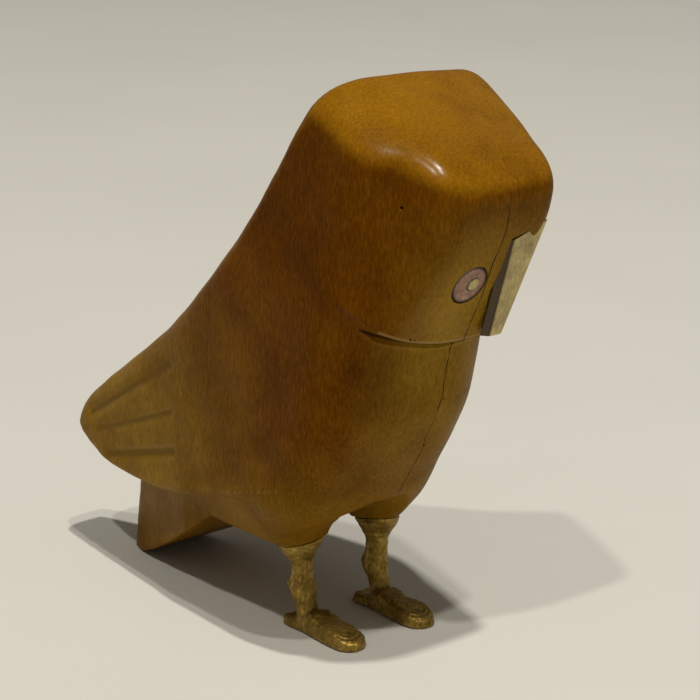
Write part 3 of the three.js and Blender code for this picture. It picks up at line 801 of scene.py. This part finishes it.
def wood_material():
    """Satin brown wood, gold where it faces up (partly painted light), greyer with painted sheen and wear,
    with strokes, marks, painted shade and highlights, and a crack.
    """
    material, tree, shader = new_material("satin_wood", Specular_Tint=(1.0, 0.7, 0.2, 1.0),
                                          Specular_IOR_Level=0.03, Coat_Roughness=0.22)
    place = add(tree, "ShaderNodeTexCoord").outputs["Object"]
    tone, height = mottle(tree, Stroke_Length=2.4, Stroke_Width=0.6, Cloud_Size=24.0, Clouds=0.5)
    brown = ramp(tree, tone, [(0.34, (0.065, 0.018, 0.0002)), (0.5, (0.112, 0.034, 0.0003)),
                              (0.66, (0.175, 0.062, 0.001))])
    golden_lit_top = ramp(tree, tone, [(0.34, (0.155, 0.058, 0.0004)), (0.5, (0.25, 0.106, 0.0006)),
                               (0.66, (0.34, 0.158, 0.002))])
    grey = ramp(tree, tone, [(0.34, (0.155, 0.074, 0.003)), (0.5, (0.245, 0.127, 0.007)),
                             (0.66, (0.34, 0.195, 0.02))])
    # Grey laid where painted sheen, bounced light and wear lie
    colour = tint(tree, own_value(tree, "sheen_and_wear"), brown, grey)
    # Gold laid on upward faces, partly painted light from above
    colour = tint(tree, own_value(tree, "golden_lit_top"), colour, golden_lit_top)
    patchy = between(tree, tone, 0.38, 0.62)
    below = own_value(tree, "under_ledge")

    def marked(colour, distance, near, far, strength, other):
        """Another colour laid over a mark in patches: at full strength up to near, gone at far."""
        share = between(tree, own_value(tree, distance), near, far, strength, 0.0)
        return tint(tree, arithmetic(tree, "MULTIPLY", share, patchy), colour, other)

    def banded(colour, middle, half_width, strength, other):
        """Another colour laid over a band along the ledge; the middle is counted down from the ledge."""
        band = arithmetic(tree, "COMPARE", below, middle, half_width)
        return tint(tree, arithmetic(tree, "MULTIPLY", band, strength), colour, other)

    # Painted shade in the gouges
    colour = marked(colour, "gouge_distance", 0.3, 1.3, 0.75, GOUGE_SHADE_COLOUR)
    # Painted highlights on the rims beside the gouges and on the lip
    colour = marked(colour, "rim_distance", 0.15, 0.5, 0.8, RIM_HIGHLIGHT_COLOUR)
    colour = marked(colour, "lip_distance", 0.15, 0.6, 0.6, RIM_HIGHLIGHT_COLOUR)
    # A pale band on the ledge's edge, painted highlight and wear, then painted shade under the ledge
    colour = banded(colour, -0.5, 0.35, 0.5, LEDGE_WEAR_AND_HIGHLIGHT_COLOUR)
    colour = banded(colour, 0.35, 0.5, 0.75, LEDGE_SHADE_COLOUR)
    line = crack(tree, place)
    colour = tint(tree, line, colour, CRACK_COLOUR)
    tree.links.new(colour, shader.inputs["Base Color"])
    coat = between(tree, own_value(tree, "golden_lit_top"), 0.0, 1.0, 0.02, 0.35)
    tree.links.new(coat, shader.inputs["Coat Weight"])
    tree.links.new(between(tree, tone, 0.35, 0.65, 0.46, 0.34), shader.inputs["Roughness"])
    relief(tree, shader, arithmetic(tree, "SUBTRACT", height, line), strength=0.35, distance=0.2)
    return material


mark_wood(body)
body.data.materials.clear()
body.data.materials.append(wood_material())
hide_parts("body")
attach(body, "root")


# Legs
# Two rough brass castings, each a shank with a knob on a long flat foot, dull and brown in the hollows.
# They stand on their soles, and their tops end just under the flat bottoms of the thighs.
LEG_TOP = THIGH_BOTTOM - GAP
FOOT_X = 11.9
FOOT_MIDDLE = -1.0
FOOT_HALF_LENGTH = 13.6
FOOT_SHIFT = 0.5                    # both feet stand this much towards the owl's right
LEG_VOXEL = 0.24
TOE_Y = -9.5                        # middle of the arcs scored into each toe
SCORE_RADII = (1.9, 3.2)
SCORE_WIDTH = 0.3
SCORE_DEPTH = 0.2
LUMPS = ((0.22, 5.5), (0.15, 2.6), (0.09, 1.3))   # heights and lengths of the waves that roughen a casting

shank_side = through((0, 3.3), (3, 3.0), (5, 2.8), (6, 2.75), (8, 3.0), (10, 3.45), (11.3, 3.6), (12.5, 3.4),
                     (14, 3.0), (16, 2.8), (18, 3.0), (20, 3.9), (22, 5.1), (24, 6.0))
shank_front = through((0, 4.2), (3, 3.4), (5, 2.9), (8, 2.9), (11, 3.3), (13, 3.0), (16, 2.8), (18, 3.0),
                      (20, 3.8), (22, 4.9), (24, 5.9))
shank_rear = through((0, 3.0), (3, 2.8), (5, 2.7), (8, 3.2), (10, 4.2), (11.3, 4.5), (12.5, 4.0), (14, 3.1),
                     (16, 2.8), (18, 3.0), (20, 4.0), (22, 5.2), (24, 6.2))
shank_across = through((0, 12.2), (5, 12.5), (12, 12.5), (16, 12.75), (20, 13.0), (24, 12.9))
shank_middle = through((0, 4.6), (4, 5.3), (6, 5.9), (8, 6.7), (10, 7.3), (12, 7.6), (24, 7.7))
foot_half_width = through((-14.6, 3.9), (-11, 4.4), (-6, 4.3), (0, 4.0), (6, 3.7), (12.6, 3.7))
foot_top = through((-14.6, 2.3), (-12, 3.4), (-8, 4.2), (-4, 4.4), (-1, 5.0), (2, 5.9), (5, 4.6), (8, 2.8),
                   (12.6, 2.5))
WAVES = np.random.default_rng(11).normal(size=(14, 4))


def rough(points, length):
    """Uneven waves of about the given length, from -1 to 1: sines along fixed random directions."""
    total = np.zeros(len(points))
    for a, b, c, shift in WAVES:
        way = np.array((a, b, c)) / np.linalg.norm((a, b, c))
        total += np.sin(points @ way * 2 * pi / length * (0.75 + 0.1 * abs(shift)) + 5 * shift)
    return total / len(WAVES) * 2.2


def leg_rise(x, y):
    """How far the tilted top of a leg rises above its middle, like the bottom of the thigh over it."""
    return RISE_FORWARDS * (THIGH_Y - y) + RISE_INWARDS * (THIGH_X - x)


def shank_rings():
    """Rings up the shank: ovals with a half width and a reach to front and rear, tilting towards the top."""
    level = np.linspace(1.2, LEG_TOP, 80)[:, None]
    turn = np.linspace(0, 2 * pi, 72, endpoint=False)[None, :]
    side, front, rear = (curve(level) for curve in (shank_side, shank_front, shank_rear))
    x = shank_across(level) + side * np.cos(turn)
    y = shank_middle(level) + np.where(np.sin(turn) > 0, rear, front) * np.sin(turn)
    return np.stack([x, y, level + fade(level, 14, LEG_TOP) * leg_rise(x, y)], -1)


def foot_rings():
    """Rings along the foot from heel to toe: flat below, upright sides, arched above, blunt at both ends."""
    s = np.sin(np.linspace(-pi / 2, pi / 2, 90))[1:-1]
    y = FOOT_MIDDLE - s * FOOT_HALF_LENGTH
    blunt = np.clip(1 - np.abs(s) ** np.where(s > 0, 7.0, 16.0), 0, 1) ** 0.5
    turn = np.linspace(0, 2 * pi, 72, endpoint=False)[None, :]
    half = (foot_half_width(y) * blunt)[:, None]
    top = (foot_top(y) * (0.6 + 0.4 * blunt ** 0.7))[:, None]
    across = np.sign(np.cos(turn)) * np.abs(np.cos(turn)) ** 0.6
    up = np.sign(np.sin(turn)) * np.abs(np.sin(turn)) ** 0.5
    x = FOOT_X + half * across
    z = np.where(up > 0, top * 0.38 + (top * 0.62) * up, top * 0.38 * (1 + up))
    x = x + (x - FOOT_X) * 0.12 * np.clip(1 - z / 1.6, 0, 1)
    return np.stack([x, y[:, None] + 0 * turn, z], -1)


def fused(name, shapes, voxel):
    """A piece made of closed shapes, remeshed into one skin of square faces as wide as the voxel."""
    points = np.concatenate([shape[0] for shape in shapes])
    starts = np.cumsum([0] + [len(shape[0]) for shape in shapes[:-1]])
    faces = np.concatenate([facing_out(*shape) + start for shape, start in zip(shapes, starts)])
    piece = mesh_object(name, points, faces)
    remesh = piece.modifiers.new("fuse", "REMESH")
    remesh.mode = "VOXEL"
    remesh.voxel_size = voxel * MM
    settle(piece)
    return piece


def cast_leg(name, side):
    """
    One leg: shank and foot fused, the toes scored, and the whole roughened as cast.
    Each point moves along its normal, by less near the sole and near the top, and none passes either.
    """
    piece = fused(name, [closed_rings(shank_rings()), closed_rings(foot_rings())], LEG_VOXEL)
    mesh = piece.data
    points = points_of(mesh) / MM + (0.0, MIDDLE, 0.0)
    normals = points_of(mesh, "vector", "vertex_normals")
    x, y, z = points.T
    upward = np.clip(normals[:, 2], 0, 1)
    arcs = np.hypot((x - FOOT_X) * 0.9, y - TOE_Y)
    scores = sum(np.exp(-((arcs - radius) / SCORE_WIDTH) ** 2) for radius in SCORE_RADII)
    on_toe = fade(y, -6.5, -9) * fade(z, 0, 1.2) * fade(y, -9, -10.5) * np.clip(0.2 + upward, 0, 1)
    depth = SCORE_DEPTH * scores * on_toe
    lift = sum(height * rough(np.roll(points, -turn, axis=1), length)
               for turn, (height, length) in enumerate(LUMPS))
    highest = LEG_TOP + leg_rise(x, y)
    free = fade(z, 0, 1.5) * np.maximum(0.15, fade(highest - z, 0, 1.5))
    points = points + normals * (lift * free - depth)[:, None]
    store(piece, "hollow", np.clip(depth / 0.3, 0, 0.6) + 0.6 * fade(lift, -0.16, -0.36))
    points[:, 2] = np.clip(points[:, 2], 0, highest)
    points[:, 0] = side * points[:, 0] - FOOT_SHIFT * fade(points[:, 2], 7, 0)
    mesh.vertices.foreach_set("co", in_frame(points).ravel())
    if side < 0:
        mesh.flip_normals()
    shade(mesh)
    mesh.update()
    return piece


def brass_material():
    """Dull cast brass: gold-coloured and olive brown in patches, dark in the hollows, with fine pits and
    grains.
    """
    material, tree, shader = new_material("cast_brass", Metallic=0.75)
    place = add(tree, "ShaderNodeTexCoord").outputs["Object"]
    tone, _ = mottle(tree, Stroke_Length=1.8, Stroke_Width=0.6, Cloud_Size=4.0, Clouds=0.45)
    colour = ramp(tree, tone, [(0.34, (0.14, 0.080, 0.012)), (0.46, (0.27, 0.168, 0.028)),
                               (0.56, (0.38, 0.25, 0.050)), (0.68, (0.56, 0.40, 0.11))])
    hollow = between(tree, own_value(tree, "hollow"), 0.0, 1.0)
    colour = tint(tree, hollow, colour, (0.045, 0.026, 0.008, 1.0))
    tree.links.new(colour, shader.inputs["Base Color"])
    pits = add(tree, "ShaderNodeTexVoronoi", [("Vector", place), ("Scale", 1100.0)]).outputs["Distance"]
    fine = noise(tree, place, 1500.0, Detail=3.0)
    height = add(tree, "ShaderNodeMix", [(0, 0.45), (2, fine), (3, pits)]).outputs[0]
    relief(tree, shader, height, strength=0.55, distance=0.3)
    tree.links.new(between(tree, tone, 0.35, 0.65, 0.6, 0.4), shader.inputs["Roughness"])
    return material


cast_brass = brass_material()
for leg_name, node, leg_side in (("cast_leg_left", "leg_left", 1), ("cast_leg_right", "leg_right", -1)):
    leg = cast_leg(leg_name, leg_side)
    leg.data.materials.clear()
    leg.data.materials.append(cast_brass)
    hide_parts(node)
    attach(leg, "root")


# Beak
# A plate of bone over the corner of the face, cut to a ridge, wide at the top and narrow below. It lies in
# a pocket in the wood, and the side of it that stands out of the right facet is painted dark as shade.
BEAK_ROUNDING = 0.45                # how far from each corner its rounding starts


def beak_rings():
    """
    Rings down the beak. Each runs from the right cheek over the ridge to the left and back behind.
    Six edges run from top to bottom, and each is rounded by four columns between its two neighbours.
    """
    front, back = beak_corners(0.0)
    steps = np.linspace(0, 1, 60)[:, None]
    ends = [(front, 0, 5), (front, 1, 4), (front, 2, 3), (back, 2, 3), (back, 1, 4), (back, 0, 5)]
    corners = [points[high] + (points[low] - points[high]) * steps for points, high, low in ends]
    spots = []
    for i, corner in enumerate(corners):
        before, after = corners[i - 1], corners[(i + 1) % 6]
        for share in (0.0, 0.35, 0.65, 1.0):
            back_by = BEAK_ROUNDING / np.linalg.norm(corner - before, axis=1, keepdims=True) * (1 - share)
            on_by = BEAK_ROUNDING / np.linalg.norm(corner - after, axis=1, keepdims=True) * share
            spots.append(corner + (before - corner) * np.minimum(back_by, 0.4)
                         + (after - corner) * np.minimum(on_by, 0.4))
        for share in (0.12, 0.25, 0.38, 0.5, 0.62, 0.75, 0.88):
            spots.append(corner + (after - corner) * share)
    return np.stack(spots, 1)


def bone_material():
    """Yellowed bone: cream with tan streaks from top to bottom, fine pores, and painted shade on the beak's
    side.
    """
    material, tree, shader = new_material("bone", Roughness=0.45, Specular_Tint=(1.0, 0.93, 0.8, 1.0))
    tone, height = mottle(tree, Stroke_Length=3.4, Stroke_Width=0.5, Cloud_Size=6.0, Clouds=0.5)
    colour = ramp(tree, tone, [(0.30, (0.22, 0.145, 0.040)), (0.43, (0.38, 0.28, 0.095)),
                               (0.54, (0.54, 0.42, 0.155)), (0.68, (0.70, 0.58, 0.26))])
    # Painted shade on the beak's side that stands out of the right facet
    colour = tint(tree, own_value(tree, "painted_side_shade"), colour, (0.035, 0.014, 0.003, 1.0))
    tree.links.new(colour, shader.inputs["Base Color"])
    relief(tree, shader, height, strength=0.35, distance=0.3)
    return material


beak_points, beak_faces = closed_rings(beak_rings())
beak = mesh_object("bone_beak", beak_points, facing_out(beak_points, beak_faces))
beak.data.set_sharp_from_angle(angle=radians(40.0))
# Painted shade: the bone is darkened on its right side, fading out within 0.35 mm of its right front edge
beak_front, _ = beak_corners(0.0)
edge_x = np.interp(beak_points[:, 2], (BEAK_BOTTOM, BEAK_SHOULDER), (beak_front[5][0], beak_front[0][0]))
from_edge = beak_points[:, 0] - edge_x
store(beak, "painted_side_shade", np.clip(1 - from_edge / 0.35, 0, 0.95))
bone = bone_material()
beak.data.materials.append(bone)
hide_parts("beak")
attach(beak, "root")


# Eyes
# A round disc of pinkish shell let into each facet of the face, and in it, off centre towards the beak, a
# small disc of bone. Dark glue fills the gaps round both.
PUPIL_RADIUS = 1.6
PUPIL_DEPTH = 0.9
PUPIL_OFFSET = 1.3
GLUE_ON_RIM = 0.45                  # how far glue covers the shell from its rim, at the sides
GLUE_MORE = 0.25                    # and how much further above and below
GLUE_ROUND_PUPIL = 0.35             # from the pupil's rim, on average
GLUE_UNEVEN = 0.3                   # more of it on the side away from the beak
GLUE_FADE = 0.15


def shell_material():
    """Shell: mottled pink and brown with a soft sheen, and dark glue round its edge and round the pupil."""
    material, tree, shader = new_material("shell", Roughness=0.34)
    tone, height = mottle(tree, Stroke_Length=1.2, Stroke_Width=0.7, Cloud_Size=2.6, Clouds=0.5)
    colour = ramp(tree, tone, [(0.34, (0.12, 0.045, 0.022)), (0.5, (0.27, 0.118, 0.058)),
                               (0.64, (0.43, 0.23, 0.13))])
    colour = tint(tree, own_value(tree, "glue"), colour, (0.012, 0.006, 0.004, 1.0))
    tree.links.new(colour, shader.inputs["Base Color"])
    relief(tree, shader, height, strength=0.2, distance=0.2)
    return material


def eye_profile():
    """A disc with a small bevel behind, faintly domed in front and rounded down towards its rim."""
    side = [(-EYE_DEPTH, EYE_RADIUS - 0.1), (-EYE_DEPTH + 0.1, EYE_RADIUS), (-0.25, EYE_RADIUS)]
    front = [(0.04 * (1 - r / EYE_RADIUS) - 0.1 * max(0.0, r - 4.6), r) for r in np.linspace(4.9, 0.15, 30)]
    return side + front


def pupil_profile():
    """A plain disc that stands a little out of the shell, with its rim rounded."""
    return [(-PUPIL_DEPTH + GAP, PUPIL_RADIUS), (0.05, PUPIL_RADIUS), (0.16, PUPIL_RADIUS - 0.12), (0.2, 1.0),
            (0.21, 0.2)]


def glue_share(points, middle, outward, beakward):
    """1 where glue covers the shell, along its rim and round the pupil, and 0 where the shell is bare."""
    flat = points - middle - ((points - middle) @ outward)[:, None] * outward
    edge = EYE_RADIUS - GLUE_ON_RIM - GLUE_MORE * np.abs(flat[:, 2] / EYE_RADIUS)
    on_rim = fade(np.linalg.norm(flat, axis=1) - edge, 0, GLUE_FADE)
    to_pupil = flat - beakward * PUPIL_OFFSET
    distance = np.linalg.norm(to_pupil, axis=1)
    far_side = -to_pupil @ beakward / np.maximum(distance, 0.1)
    reach = PUPIL_RADIUS + GLUE_ROUND_PUPIL + GLUE_UNEVEN * far_side
    return np.maximum(on_rim, fade(reach - distance, 0, GLUE_FADE))


def inlay(name, node, centre, way, profile, sides, material):
    """A turned disc from its profile, standing for its node."""
    points, triangles = turned(centre, way, profile, sides)
    piece = mesh_object(name, points, facing_out(points, triangles))
    piece.data.set_sharp_from_angle(angle=radians(50.0))
    piece.data.materials.append(material)
    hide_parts(node)
    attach(piece, "root")
    return piece, points


shell = shell_material()
for side in ("right", "left"):
    point, outward, beakward = eye_seat(side)
    middle = point - outward * EYE_SET_BACK
    profile = eye_profile()
    eye, points = inlay(f"shell_eye_{side}", f"eye_{side}", middle, outward, profile, 96, shell)
    store(eye, "glue", glue_share(points, middle, outward, beakward))
    seat = point + beakward * PUPIL_OFFSET - outward * EYE_SET_BACK
    inlay(f"bone_pupil_{side}", f"pupil_{side}", seat, outward, pupil_profile(), 64, bone)
